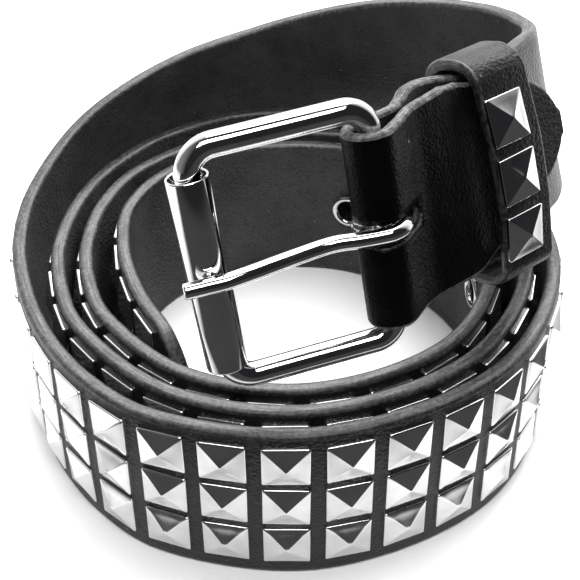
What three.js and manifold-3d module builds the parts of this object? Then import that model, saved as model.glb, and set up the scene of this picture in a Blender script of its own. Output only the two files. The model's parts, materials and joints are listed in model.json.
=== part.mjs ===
// Studded belt, wound up and stood on its lower edge, with the buckle end sprung up over the coil.
// Millimetres, +Z up. The camera side of the coil is -Y. Angles are in degrees, seen from above,
// and count from +X towards +Y. The belt winds clockwise from its tip to its buckle.
import * as THREE from 'three';
import { mergeVertices } from 'three/addons/utils/BufferGeometryUtils.js';
import Module from 'manifold-3d';

const wasm = await Module();
wasm.setup();

// Strap
const strap_width = 38;
const strap_thickness = 3.2;
const fold_thickness = 2.2; // the skived end that goes round the buckle's bar
const tip_length = 12; // length of the rounded tip
const flap_end_length = 8; // length of the rounded end of the folded flap

// Pyramid studs, clenched through the strap in rows
const stud_size = 9.3;
const stud_rim = 0.6;
const stud_point = 1.5;
const stud_pitch = 11.742;
const row_pitch = 10.9;
const rows_of_studs = 3;
const rows_rise = 0.8; // of the rows' middle above the strap's middle
const first_stud_edge = 11.5; // from the tip
const plain_length = 62; // strap without studs, before the keeper
const stud_sink = 0.5; // how far a stud's skirt goes into the strap
const stud_seat_margin = 0.35; // flat strap beyond each edge of a stud

// Eyelets, in place of middle-row studs near the tip
const eyelet_count = 5;
const eyelet_columns = 2; // columns of studs from one eyelet to the next
const first_eyelet_column = 9;
const eyelet_hole = 5.8;
const eyelet_outside = 9.2;
const eyelet_wall = 0.55;

// Coil
const coil_radius = 40;
const lap_gap = 0.5; // air between a stud's point and the next lap
const start_angle = 240;

// Buckle: a bent wire frame, a rolled sleeve on its front bar, and a prong round its rear bar
const wire = 4.6;
const frame_length = 32; // between the axes of the two upright bars
const side_clearance = 1.2; // between the strap's edge and the frame
const front_corner_radius = 5.2; // beside the roller
const rear_corner_radius = 4.2; // beside the fold
const frame_heading = 194.5; // from the rear bar to the roller, as it lies
const roller_outside = 7.6;
const roller_wall = 0.5;
const roller_end_gap = 3.9; // from the roller's ends to the axes of the frame's side bars
const roller_drop = 0.5; // it has slid down to the frame's lower corner
const prong_wire = 3.0;
const prong_overhang = 1.4; // beyond the roller
const running_clearance = 0.3;
const bar_clearance = 0.45; // between the rear bar and what goes round it
const slot_clearance = 0.9;

// Keeper: a leather band round the strap and its flap, with three studs
const keeper_width = 13;
const keeper_thickness = 2.2;
const keeper_edge_slack = 1.2; // above and below the strap's edges
const keeper_bow = 2.2; // how far its front bulges
const keeper_back_room = 2.1; // between the strap and its back
const keeper_front_room = 1.8; // between the flap and its front
const keeper_heading = 39;
const keeper_lean = 20;
const keeper_stud_pitch = 11.25;
const keeper_stud_drop = 0.8; // of its studs below its middle
const keeper_stud_shift = 1.6; // of its studs towards the buckle

// Fineness of round and bent shapes
const round_sides = 16;
const wire_sides = 10;
const prong_sides = 8;
const hole_sides = 12;
const corner_steps = 5;
const fold_steps = 8;
const plain_step = 5;
const bulge_step = 3.5;
const near_fold = 8;
const near_fold_step = 2;
const fold_step = 1.4;
const flap_step = 4;

const degree = Math.PI / 180;
const stud_height = stud_rim + stud_point;
const lap_pitch = strap_thickness + stud_height + lap_gap;
const up_axis = new THREE.Vector3(0, 0, 1);

// The route of the strap's middle, by turn: degrees wound off from the tip. reach is a share of
// coil_radius, to which each lap adds lap_pitch. rise is a share of strap_width. lean is in degrees,
// top inwards.
const route = [
  { turn: 0, reach: 1.025, rise: 0, lean: 0 },
  { turn: 9, reach: 0.958, rise: 0, lean: 0 },
  { turn: 18, reach: 0.913, rise: 0, lean: 0 },
  { turn: 30, reach: 0.882, rise: 0, lean: 0 },
  { turn: 44, reach: 0.872, rise: 0, lean: 0 },
  { turn: 62, reach: 0.9, rise: 0, lean: 0 },
  { turn: 84, reach: 0.982, rise: 0, lean: 0 },
  { turn: 106, reach: 1.03, rise: 0, lean: 0 },
  { turn: 135, reach: 1.04, rise: 0, lean: 0 },
  { turn: 170, reach: 1.042, rise: 0, lean: 0 },
  { turn: 206, reach: 1.034, rise: 0, lean: 0 },
  { turn: 240, reach: 1.026, rise: 0, lean: 0 },
  { turn: 284, reach: 1.028, rise: 0, lean: 0 },
  { turn: 324, reach: 1.026, rise: 0, lean: 0 },
  { turn: 356, reach: 1.01, rise: 0, lean: 0 },
  { turn: 388, reach: 0.965, rise: 0, lean: 0 },
  { turn: 404, reach: 0.952, rise: 0, lean: 0 },
  { turn: 422, reach: 0.958, rise: 0, lean: 0 },
  { turn: 444, reach: 1.0, rise: 0, lean: 0 },
  { turn: 464, reach: 1.04, rise: 0, lean: 0 },
  { turn: 495, reach: 1.06, rise: 0, lean: 0 },
  { turn: 540, reach: 1.058, rise: 0, lean: 0 },
  { turn: 600, reach: 1.046, rise: 0, lean: 0 },
  { turn: 644, reach: 1.036, rise: 0, lean: 0 },
  { turn: 684, reach: 1.03, rise: 0, lean: 0 },
  { turn: 716, reach: 1.014, rise: 0, lean: 0 },
  { turn: 748, reach: 0.97, rise: 0, lean: 0 },
  { turn: 764, reach: 0.957, rise: 0, lean: 0 },
  { turn: 782, reach: 0.966, rise: 0, lean: 0 },
  { turn: 804, reach: 1.004, rise: 0, lean: 0 },
  { turn: 820, reach: 1.05, rise: 0, lean: 0 },
  { turn: 838, reach: 1.11, rise: 0, lean: 0 },
  { turn: 862, reach: 1.166, rise: 0, lean: 0 },
  { turn: 890, reach: 1.13, rise: 0, lean: 0 },
  { turn: 930, reach: 1.085, rise: 0, lean: 0 },
  { turn: 965, reach: 1.055, rise: 0, lean: 0 },
  { turn: 1004, reach: 1.042, rise: 0, lean: 0 },
  { turn: 1044, reach: 1.038, rise: 0, lean: 0 },
  { turn: 1076, reach: 1.044, rise: 0, lean: 0 },
  { turn: 1092, reach: 1.02, rise: 0, lean: 0 },
  { turn: 1108, reach: 0.994, rise: 0, lean: 0 },
  { turn: 1124, reach: 0.993, rise: 0.014, lean: 0 },
  { turn: 1140, reach: 1.026, rise: 0.058, lean: 0 },
  { turn: 1156, reach: 1.058, rise: 0.125, lean: 0 },
  { turn: 1177, reach: 1.1, rise: 0.255, lean: 1 },
  { turn: 1194, reach: 1.12, rise: 0.37, lean: 2 },
  { turn: 1210, reach: 1.15, rise: 0.468, lean: 3 },
  { turn: 1228, reach: 1.17, rise: 0.582, lean: 5 },
  { turn: 1249, reach: 1.143, rise: 0.778, lean: 8 },
  { turn: 1268, reach: 1.106, rise: 0.93, lean: 11 },
  { turn: 1280, reach: 1.08, rise: 1.01, lean: 13 },
  { turn: 1290, reach: 1.028, rise: 1.075, lean: 14 },
  { turn: 1297, reach: 0.975, rise: 1.12, lean: 15 },
  { turn: 1304, reach: 0.912, rise: 1.165, lean: 15 },
  { turn: 1312, reach: 0.82, rise: 1.22, lean: 16 },
  { turn: 1320, reach: 0.715, rise: 1.265, lean: 17 },
  { turn: 1332, reach: 0.6, rise: 1.295, lean: 19 },
  { turn: 1342.5, reach: 0.5, rise: 1.3, lean: 20 },
];
const keeper_row = route.length - 1;

// The bar that the strap folds round, placed as a row of the route is, and the flap's heading there.
const bar_seat = { turn: 1388.5, reach: 0.555, rise: 1.392 };
const flap_heading = 43;
const bar_lean = 13;

// From the keeper to the fold: shares of strap_width, ahead of the bar towards the keeper and behind
// the bar, away from the flap. rise moves the strap's middle along the bar.
const bulge = [
  { ahead: 0.68, behind: 0.15, rise: -0.04 },
  { ahead: 0.54, behind: 0.172, rise: -0.01 },
  { ahead: 0.43, behind: 0.155, rise: 0.005 },
  { ahead: 0.33, behind: 0.105, rise: 0.005 },
  { ahead: 0.24, behind: 0.078, rise: 0 },
];

// The folded flap, from the bar to its end, in the same shares. width is its share of strap_width,
// and turned is the share by which it stands as the keeper does, and no longer as the bar does.
const flap = [
  { ahead: 0.14, behind: -0.055, rise: 0, width: 1, turned: 0 },
  { ahead: 0.26, behind: -0.02, rise: 0, width: 1, turned: 0.3 },
  { ahead: 0.4, behind: -0.018, rise: 0, width: 1, turned: 0.6 },
  { ahead: 0.54, behind: -0.012, rise: 0, width: 1, turned: 0.85 },
  { ahead: 0.7, behind: 0.016, rise: 0.01, width: 0.92, turned: 1 },
  { ahead: 0.87, behind: 0.018, rise: 0.03, width: 0.78, turned: 1 },
  { ahead: 1.05, behind: -0.01, rise: 0.05, width: 0.62, turned: 1 },
  { ahead: 1.27, behind: -0.065, rise: 0.06, width: 0.5, turned: 1 },
];

const steel = new THREE.MeshStandardMaterial({ color: 0xd9dcdf, roughness: 0.12, metalness: 1 });
const leather = new THREE.MeshStandardMaterial({ color: 0x141416, roughness: 0.45, metalness: 0 });
const nickel = new THREE.MeshStandardMaterial({ color: 0xc9ccd0, roughness: 0.2, metalness: 1 });

function heading(angle) {
  return new THREE.Vector3(Math.cos(angle * degree), Math.sin(angle * degree), 0);
}

function placeOnCoil({ turn, reach, rise }) {
  const radius = coil_radius * reach + (lap_pitch * turn) / 360;
  const place = heading(start_angle - turn).multiplyScalar(radius);
  place.z = strap_width * (0.5 + rise);
  return place;
}

// The way the strap's width stands, leaning back from the side that faces out.
function standing(outward, lean) {
  return up_axis.clone().multiplyScalar(Math.cos(lean * degree))
    .addScaledVector(outward, -Math.sin(lean * degree));
}

// Directions at the buckle's bar: along the bar, along the flap away from the bar, and behind it.
const flap_outward = heading(flap_heading - 90);
const bar_axis = standing(flap_outward, bar_lean);
const flap_along = heading(flap_heading);
flap_along.addScaledVector(bar_axis, -flap_along.dot(bar_axis)).normalize();
const behind_bar = new THREE.Vector3().crossVectors(bar_axis, flap_along);
const bar_middle = placeOnCoil(bar_seat);

function placeAtBar(ahead, behind, rise = 0) {
  return bar_middle.clone().addScaledVector(flap_along, ahead).addScaledVector(behind_bar, behind)
    .addScaledVector(bar_axis, rise);
}

// Points that the strap's middle runs through, each with how its width stands and its thickness.
function strapPoints() {
  const places = route.map(placeOnCoil);
  const points = route.map((row, i) => {
    const before = places[Math.max(i - 1, 0)];
    const after = places[Math.min(i + 1, places.length - 1)];
    const onward = after.clone().sub(before).setZ(0).normalize();
    const outward = new THREE.Vector3().crossVectors(up_axis, onward);
    return { place: places[i], stand: standing(outward, row.lean), thickness: strap_thickness, width: 1 };
  });
  const keeper_stand = points[keeper_row].stand;
  bulge.forEach((row, i) => {
    const share = (i + 1) / bulge.length;
    points.push({
      place: placeAtBar(row.ahead * strap_width, row.behind * strap_width, row.rise * strap_width),
      stand: keeper_stand.clone().lerp(bar_axis, share).normalize(),
      thickness: strap_thickness + (fold_thickness - strap_thickness) * share,
      width: 1,
    });
  });
  const fold_radius = wire / 2 + bar_clearance + fold_thickness / 2;
  for (let i = 0; i <= fold_steps; i++) {
    const angle = Math.PI * (i / fold_steps);
    const place = placeAtBar(-fold_radius * Math.sin(angle), fold_radius * Math.cos(angle));
    points.push({ place, stand: bar_axis, thickness: fold_thickness, width: 1 });
  }
  flap.forEach((row) => {
    points.push({
      place: placeAtBar(row.ahead * strap_width, row.behind * strap_width, row.rise * strap_width),
      stand: bar_axis.clone().lerp(keeper_stand, row.turned).normalize(),
      thickness: fold_thickness,
      width: row.width,
    });
  });
  return points;
}

// The strap's route, measured off by distance from the tip. No point of it sinks below the ground rows.
const strap_points = strapPoints();
const fold_start_row = route.length + bulge.length;
const curve = new THREE.CatmullRomCurve3(strap_points.map((point) => point.place), false, 'centripetal');
const steps_per_row = 40;
const lowest = strap_width / 2;
const walked = [{ distance: 0, t: 0, place: curve.getPoint(0) }];
for (let i = 1; i <= (strap_points.length - 1) * steps_per_row; i++) {
  const t = i / ((strap_points.length - 1) * steps_per_row);
  const place = curve.getPoint(t);
  place.z = Math.max(place.z, lowest);
  const last = walked[i - 1];
  walked.push({ distance: last.distance + place.distanceTo(last.place), t, place });
}
const strap_length = walked[walked.length - 1].distance;
const keeper_distance = walked[keeper_row * steps_per_row].distance;
const fold_start = walked[fold_start_row * steps_per_row].distance;
const fold_end = walked[(fold_start_row + fold_steps) * steps_per_row].distance;

function walkTo(distance) {
  let low = 0;
  let high = walked.length - 1;
  while (high - low > 1) {
    const middle = (low + high) >> 1;
    if (walked[middle].distance > distance) {
      high = middle;
    } else {
      low = middle;
    }
  }
  const share = (distance - walked[low].distance) / (walked[high].distance - walked[low].distance);
  return {
    place: walked[low].place.clone().lerp(walked[high].place, share),
    row: (walked[low].t + (walked[high].t - walked[low].t) * share) * (strap_points.length - 1),
  };
}

// The strap's own directions at a distance from the tip: along it, up its width, and out of the face
// that carries the studs.
function strapAt(distance) {
  const look = 0.4;
  const { place, row } = walkTo(Math.min(Math.max(distance, 0), strap_length));
  const onward = walkTo(Math.min(distance + look, strap_length)).place;
  const along = onward.sub(walkTo(Math.max(distance - look, 0)).place).normalize();
  const low = Math.min(Math.floor(row), strap_points.length - 2);
  const share = row - low;
  const stand = strap_points[low].stand.clone().lerp(strap_points[low + 1].stand, share);
  const up = stand.addScaledVector(along, -stand.dot(along)).normalize();
  const out = new THREE.Vector3().crossVectors(up, along);
  const between = (name) => THREE.MathUtils.lerp(strap_points[low][name], strap_points[low + 1][name], share);
  return { place, along, up, out, thickness: between('thickness'), width: strap_width * between('width') };
}

// A solid skin over rings of points. Each ring runs anticlockwise seen from the next one.
function skin(rings, closed = false) {
  const sides = rings[0].length;
  const positions = rings.flat().flatMap((point) => [point.x, point.y, point.z]);
  const triangles = [];
  const spans = closed ? rings.length : rings.length - 1;
  for (let i = 0; i < spans; i++) {
    const here = i * sides;
    const there = ((i + 1) % rings.length) * sides;
    for (let j = 0; j < sides; j++) {
      const next = (j + 1) % sides;
      triangles.push(here + j, here + next, there + next, here + j, there + next, there + j);
    }
  }
  if (!closed) {
    const last = (rings.length - 1) * sides;
    for (let j = 1; j < sides - 1; j++) {
      triangles.push(0, j + 1, j, last, last + j, last + j + 1);
    }
  }
  const geometry = new THREE.BufferGeometry();
  geometry.setAttribute('position', new THREE.Float32BufferAttribute(positions, 3));
  geometry.setIndex(triangles);
  return geometry;
}

function toSolid(geometry) {
  const bare = geometry.clone();
  bare.deleteAttribute('normal');
  bare.deleteAttribute('uv');
  const merged = mergeVertices(bare, 1e-4);
  return new wasm.Manifold(new wasm.Mesh({
    numProp: 3,
    vertProperties: new Float32Array(merged.attributes.position.array),
    triVerts: new Uint32Array(merged.index.array),
  }));
}

function toGeometry(solid) {
  const { vertProperties, triVerts } = solid.getMesh();
  const geometry = new THREE.BufferGeometry();
  geometry.setAttribute('position', new THREE.BufferAttribute(vertProperties, 3));
  geometry.setIndex(new THREE.BufferAttribute(triVerts, 1));
  geometry.computeVertexNormals();
  return geometry;
}

// Places a shape whose own x, y and z lie along the three directions given.
function set(geometry, place, x, y, z) {
  return geometry.applyMatrix4(new THREE.Matrix4().makeBasis(x, y, z).setPosition(place));
}

// A square pyramid on a low upright rim. Its own z points out of the leather.
function studShape(skirt) {
  const half = stud_size / 2;
  const square = [[-half, -half], [half, -half], [half, half], [-half, half]];
  const positions = [-skirt, stud_rim].flatMap((z) => square.flatMap(([x, y]) => [x, y, z]));
  positions.push(0, 0, stud_height);
  const triangles = [0, 2, 1, 0, 3, 2];
  for (let j = 0; j < 4; j++) {
    const next = (j + 1) % 4;
    triangles.push(j, next, 4 + next, j, 4 + next, 4 + j, 4 + j, 4 + next, 8);
  }
  const geometry = new THREE.BufferGeometry();
  geometry.setAttribute('position', new THREE.Float32BufferAttribute(positions, 3));
  geometry.setIndex(triangles);
  return geometry;
}

// Columns of studs, from near the tip to the plain length before the keeper.
const seat_half = stud_size / 2 + stud_seat_margin;
const studs_end = keeper_distance - plain_length;
const column_count = Math.floor((studs_end - first_stud_edge - stud_size) / stud_pitch) + 1;
const first_column = first_stud_edge + stud_size / 2;
const columns = Array.from({ length: column_count }, (_, i) => first_column + i * stud_pitch);

// How far the strap's ends are rounded at a distance from the tip, as a share of its width.
function endRounding(distance) {
  const from_tip = Math.min(distance / tip_length, 1);
  const from_end = Math.min((strap_length - distance) / flap_end_length, 1);
  return Math.max(Math.sqrt(1 - (1 - Math.min(from_tip, from_end)) ** 2), 0.3);
}

function strapSection(distance) {
  const { place, up, out, thickness, width } = strapAt(distance);
  const half_width = (width / 2) * endRounding(distance);
  const half_thickness = thickness / 2;
  return [[-1, -1], [1, -1], [1, 1], [-1, 1]].map(([side, edge]) => place.clone()
    .addScaledVector(out, side * half_thickness).addScaledVector(up, edge * half_width));
}

function evenly(from, to, longest) {
  const count = Math.ceil((to - from) / longest);
  return Array.from({ length: count }, (_, i) => from + ((to - from) * i) / count);
}

// Where the strap has a section: both ends of each stud's seat, and closer steps where it bends.
function sectionDistances() {
  const last_seat = columns[columns.length - 1] + seat_half;
  return [
    ...[0, 0.08, 0.25, 0.5, 0.75].map((share) => share * tip_length),
    ...columns.flatMap((column) => [column - seat_half, column + seat_half]),
    ...evenly(last_seat + plain_step, keeper_distance, plain_step),
    ...evenly(keeper_distance, fold_start - near_fold, bulge_step),
    ...evenly(fold_start - near_fold, fold_start, near_fold_step),
    ...evenly(fold_start, fold_end, fold_step),
    ...evenly(fold_end, strap_length - flap_end_length, flap_step),
    ...[1, 0.72, 0.48, 0.28, 0.13, 0.04, 0].map((share) => strap_length - share * flap_end_length),
  ];
}

// The flat seat of a column of studs, on the face away from the coil's middle.
function seatAt(column) {
  const first = strapAt(column - seat_half);
  const second = strapAt(column + seat_half);
  const start = first.place.clone().addScaledVector(first.out, first.thickness / 2);
  const end = second.place.clone().addScaledVector(second.out, second.thickness / 2);
  const along = end.clone().sub(start).normalize();
  const stand = first.up.clone().add(second.up);
  const up = stand.addScaledVector(along, -stand.dot(along)).normalize();
  const out = new THREE.Vector3().crossVectors(up, along);
  return { place: start.add(end).multiplyScalar(0.5).addScaledVector(up, rows_rise), along, up, out };
}

const eyelet_seats = Array.from({ length: eyelet_count }, (_, i) => first_eyelet_column + i * eyelet_columns);

function strapGeometry() {
  let strap = toSolid(skin(sectionDistances().map(strapSection)));
  const middle_row = (rows_of_studs - 1) / 2;
  const studs = [];
  columns.forEach((column, i) => {
    const { place, along, up, out } = seatAt(column);
    for (let row = 0; row < rows_of_studs; row++) {
      if (row === middle_row && eyelet_seats.includes(i)) {
        continue;
      }
      const centre = place.clone().addScaledVector(up, (row - middle_row) * row_pitch);
      studs.push(toSolid(set(studShape(stud_sink), centre, up, along, out)));
    }
  });
  strap = strap.add(wasm.Manifold.union(studs));
  const hole_radius = eyelet_hole / 2 + eyelet_wall + running_clearance;
  const holes = eyelet_seats.map((column) => {
    const { place, along, up, out } = seatAt(columns[column]);
    const middle = place.clone().addScaledVector(out, -strap_thickness / 2);
    const drill = new THREE.CylinderGeometry(hole_radius, hole_radius, strap_thickness + lap_gap, hole_sides);
    return toSolid(set(drill, middle, along, out, up));
  });
  const slot_height = prong_wire + 2 * slot_clearance;
  const slot_reach = wire / 2 + bar_clearance + prong_wire + 2 * slot_clearance;
  const slot = set(new THREE.BoxGeometry(2 * slot_reach, 2 * slot_reach, slot_height),
    placeAtBar(slot_clearance, 0), flap_along, behind_bar, bar_axis);
  return toGeometry(strap.subtract(wasm.Manifold.union([...holes, toSolid(slot)])));
}

function eyeletGeometry(column) {
  const { place, along, up, out } = seatAt(columns[column]);
  const inside = eyelet_hole / 2;
  const barrel = inside + eyelet_wall;
  const flange = eyelet_outside / 2;
  const under = strap_thickness / 2 + running_clearance;
  const over = under + eyelet_wall;
  const profile = [
    [inside, -over], [flange - eyelet_wall, -over], [flange, -under], [barrel, -under],
    [barrel, under], [flange, under], [flange - eyelet_wall, over], [inside, over], [inside, -over],
  ];
  const ring = new THREE.LatheGeometry(profile.map(([x, y]) => new THREE.Vector2(x, y)), hole_sides);
  const middle = place.clone().addScaledVector(out, -strap_thickness / 2);
  return toGeometry(toSolid(set(ring, middle, along, out, up)));
}

// The frame's own plane: from the rear bar to the roller, and the side that the prong lies on.
const frame_along = heading(frame_heading);
frame_along.addScaledVector(bar_axis, -frame_along.dot(bar_axis)).normalize();
const frame_front = new THREE.Vector3().crossVectors(frame_along, bar_axis).negate();
const frame_height = strap_width + 2 * side_clearance + wire;

function placeOnFrame(along, front, up) {
  return bar_middle.clone().addScaledVector(frame_along, along).addScaledVector(frame_front, front)
    .addScaledVector(bar_axis, up);
}

function frameGeometry() {
  const corners = [[0, -1], [1, -1], [1, 1], [0, 1]];
  const rings = [];
  corners.forEach(([far, side], corner) => {
    const corner_radius = far ? front_corner_radius : rear_corner_radius;
    const centre_along = far ? frame_length - corner_radius : corner_radius;
    const centre_up = side * (frame_height / 2 - corner_radius);
    for (let i = 0; i <= corner_steps; i++) {
      const angle = Math.PI + (Math.PI / 2) * (corner + i / corner_steps);
      const outward = new THREE.Vector2(Math.cos(angle), Math.sin(angle));
      rings.push(Array.from({ length: wire_sides }, (_, j) => {
        const round = (2 * Math.PI * j) / wire_sides;
        const reach = corner_radius + (wire / 2) * Math.cos(round);
        const front = (wire / 2) * Math.sin(round);
        return placeOnFrame(centre_along + outward.x * reach, front, centre_up + outward.y * reach);
      }));
    }
  });
  return toGeometry(toSolid(skin(rings, true)));
}

function rollerGeometry() {
  const outside = roller_outside / 2;
  const inside = outside - roller_wall;
  const half = frame_height / 2 - roller_end_gap;
  const profile = [[inside, -half], [outside, -half], [outside, half], [inside, half], [inside, -half]];
  const tube = new THREE.LatheGeometry(profile.map(([x, y]) => new THREE.Vector2(x, y)), round_sides);
  return set(tube, placeOnFrame(frame_length, 0, -roller_drop), frame_front, bar_axis, frame_along);
}

// The prong: an eye round the rear bar, then a shank that dips and rides over the roller. along is a
// share of frame_length and front a share of the height at which it rides over the roller.
const prong_ride = roller_outside / 2 + running_clearance + prong_wire / 2;
const prong_tip = frame_length + roller_outside / 2 + prong_overhang;
const prong_shank = [
  { along: 0.16, front: 0.62 },
  { along: 0.3, front: 0.42 },
  { along: 0.55, front: 0.62 },
  { along: 0.82, front: 0.93 },
  { along: 0.94, front: 1.02 },
  { along: 1.05, front: 1 },
  { along: prong_tip / frame_length, front: 0.97 },
];
const eye_from = -25;
const eye_to = -282;
const eye_steps = 12;
const shank_steps = 34;

function prongGeometry() {
  const eye_radius = wire / 2 + bar_clearance + prong_wire / 2;
  const points = [];
  for (let i = 0; i <= eye_steps; i++) {
    const angle = (eye_from + ((eye_to - eye_from) * i) / eye_steps) * degree;
    points.push(placeOnFrame(eye_radius * Math.cos(angle), eye_radius * Math.sin(angle), 0));
  }
  for (const row of prong_shank) {
    points.push(placeOnFrame(row.along * frame_length, row.front * prong_ride, 0));
  }
  const middle_line = new THREE.CatmullRomCurve3(points, false, 'centripetal');
  const rings = [];
  for (let i = 0; i <= shank_steps; i++) {
    const along = middle_line.getTangentAt(i / shank_steps);
    const side = new THREE.Vector3().crossVectors(bar_axis, along);
    const centre = middle_line.getPointAt(i / shank_steps);
    rings.push(Array.from({ length: prong_sides }, (_, j) => {
      const round = (2 * Math.PI * j) / prong_sides;
      return centre.clone().addScaledVector(side, (prong_wire / 2) * Math.cos(round))
        .addScaledVector(bar_axis, (prong_wire / 2) * Math.sin(round));
    }));
  }
  return toGeometry(toSolid(skin(rings)));
}

// The keeper's own directions: along the strap, up its width, and out of the front.
const keeper_place = strapAt(keeper_distance).place;
const keeper_along = heading(keeper_heading);
const keeper_up = standing(heading(keeper_heading - 90), keeper_lean);
const keeper_out = new THREE.Vector3().crossVectors(keeper_along, keeper_up);

// Over its upper edge, from front to back: depth is a share of the loop's depth, counted from the
// strap's middle, and over is a share of keeper_edge_slack beyond the front's own top.
const keeper_top = [
  { depth: 0.36, over: 0.33 },
  { depth: 0.1, over: 0.5 },
  { depth: -0.22, over: 0.25 },
  { depth: -0.4, over: -1.2 },
];
const keeper_front_share = 0.94; // of its half height, to where its front starts to round over

// The inner line of its loop, seen along the strap, anticlockwise from the foot of the bowed front.
function keeperLine() {
  const front = strap_thickness / 2 + fold_thickness + keeper_front_room;
  const depth = front + strap_thickness / 2 + keeper_back_room;
  const half = strap_width / 2 + keeper_edge_slack;
  const front_end = half * keeper_front_share;
  const seats = Array.from({ length: rows_of_studs }, (_, row) => keeperStudHeight(row))
    .flatMap((middle) => [middle - seat_half, middle + seat_half]);
  const line = [-front_end, ...seats, front_end].map((up) => (
    new THREE.Vector2(front + keeper_bow * (1 - (up / half) ** 2), up)));
  const over = keeper_top.map((row) => (
    new THREE.Vector2(row.depth * depth, half + row.over * keeper_edge_slack)));
  const under = over.map((point) => new THREE.Vector2(point.x, -point.y)).reverse();
  return [...line, ...over, ...under];
}

function keeperStudHeight(row) {
  return (row - (rows_of_studs - 1) / 2) * keeper_stud_pitch - keeper_stud_drop;
}

function keeperOutline() {
  const inner = keeperLine();
  return inner.map((point, i) => {
    const before = inner[(i + inner.length - 1) % inner.length];
    const after = inner[(i + 1) % inner.length];
    const first = point.clone().sub(before).normalize();
    const second = after.clone().sub(point).normalize();
    const bisector = first.clone().add(second).normalize();
    const outward = new THREE.Vector2(bisector.y, -bisector.x);
    const stretch = 1 / outward.dot(new THREE.Vector2(second.y, -second.x));
    return { inner: point, outer: point.clone().addScaledVector(outward, keeper_thickness * stretch) };
  });
}

function placeInKeeper(out, up, along = 0) {
  return keeper_place.clone().addScaledVector(keeper_out, out).addScaledVector(keeper_up, up)
    .addScaledVector(keeper_along, along);
}

function keeperGeometry() {
  const half = keeper_width / 2;
  const rings = keeperOutline().map(({ inner, outer }) => [
    placeInKeeper(inner.x, inner.y, -half),
    placeInKeeper(outer.x, outer.y, -half),
    placeInKeeper(outer.x, outer.y, half),
    placeInKeeper(inner.x, inner.y, half),
  ]);
  return toGeometry(toSolid(skin(rings, true)));
}

function keeperStudGeometry(row) {
  const outline = keeperOutline();
  const first = outline[2 * row + 1].outer;
  const second = outline[2 * row + 2].outer;
  const up_flat = second.clone().sub(first).normalize();
  const out_flat = new THREE.Vector2(up_flat.y, -up_flat.x);
  const middle = first.clone().add(second).multiplyScalar(0.5).addScaledVector(out_flat, running_clearance);
  const up = keeper_out.clone().multiplyScalar(up_flat.x).addScaledVector(keeper_up, up_flat.y);
  const out = keeper_out.clone().multiplyScalar(out_flat.x).addScaledVector(keeper_up, out_flat.y);
  return set(studShape(0), placeInKeeper(middle.x, middle.y, -keeper_stud_shift), keeper_along, up, out);
}

const belt = new THREE.Group();

function add(name, geometry, material) {
  const mesh = new THREE.Mesh(geometry, material);
  mesh.name = name;
  belt.add(mesh);
}

add('strap', strapGeometry(), leather);
add('keeper', keeperGeometry(), leather);
for (let row = 0; row < rows_of_studs; row++) {
  add(`keeper_stud_${row + 1}`, keeperStudGeometry(row), steel);
}
eyelet_seats.forEach((column, i) => add(`eyelet_${i + 1}`, eyeletGeometry(column), nickel));
add('buckle_frame', frameGeometry(), steel);
add('roller', rollerGeometry(), steel);
add('prong', prongGeometry(), steel);

// The origin is under the middle of the belt, on the surface that it stands on.
const reach = new THREE.Box3().setFromObject(belt);
const middle = reach.getCenter(new THREE.Vector3());
belt.position.set(-middle.x, -middle.y, -reach.min.z);
belt.updateMatrixWorld(true);

export default belt;
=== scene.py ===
import json
import math

import bmesh
import bpy
import numpy as np
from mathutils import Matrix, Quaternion, Vector


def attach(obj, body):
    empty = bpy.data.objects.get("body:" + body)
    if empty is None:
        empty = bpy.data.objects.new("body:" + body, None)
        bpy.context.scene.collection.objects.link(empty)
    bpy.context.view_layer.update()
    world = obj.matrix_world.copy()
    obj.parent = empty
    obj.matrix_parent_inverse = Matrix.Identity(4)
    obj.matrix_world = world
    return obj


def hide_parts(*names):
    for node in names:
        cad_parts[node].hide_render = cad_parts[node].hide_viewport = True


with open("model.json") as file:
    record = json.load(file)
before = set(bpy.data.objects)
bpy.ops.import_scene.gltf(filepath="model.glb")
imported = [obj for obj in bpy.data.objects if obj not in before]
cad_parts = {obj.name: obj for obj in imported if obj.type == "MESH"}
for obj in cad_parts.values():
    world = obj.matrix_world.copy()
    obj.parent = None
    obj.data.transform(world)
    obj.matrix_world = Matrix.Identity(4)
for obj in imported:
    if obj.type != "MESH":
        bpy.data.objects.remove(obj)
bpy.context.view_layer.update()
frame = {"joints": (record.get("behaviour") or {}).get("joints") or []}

# The strap. One length of black coated leather, 38 mm wide, wound up from its tip and stood on its
# lower edge. Its other end is thinned, folded round the buckle's bar and brought back as a flap.
# The face is coated, the back is the split side, and the cut edges are stained.
mm = 0.001
strap_width = 38.0
strap_thickness = 3.2
fold_thickness = 2.2
tip_length = 12.0
flap_end_length = 8.0
coil_radius = 40.0
lap_pitch = 5.8
start_angle = 240.0
wire = 4.6
bar_clearance = 0.45
raw_edge_past_keeper = 8.0
# The back is darkened with painted shade from past the keeper's raw edge to this far short of the flap's end.
painted_dark_short_of_end = 18.0

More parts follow.
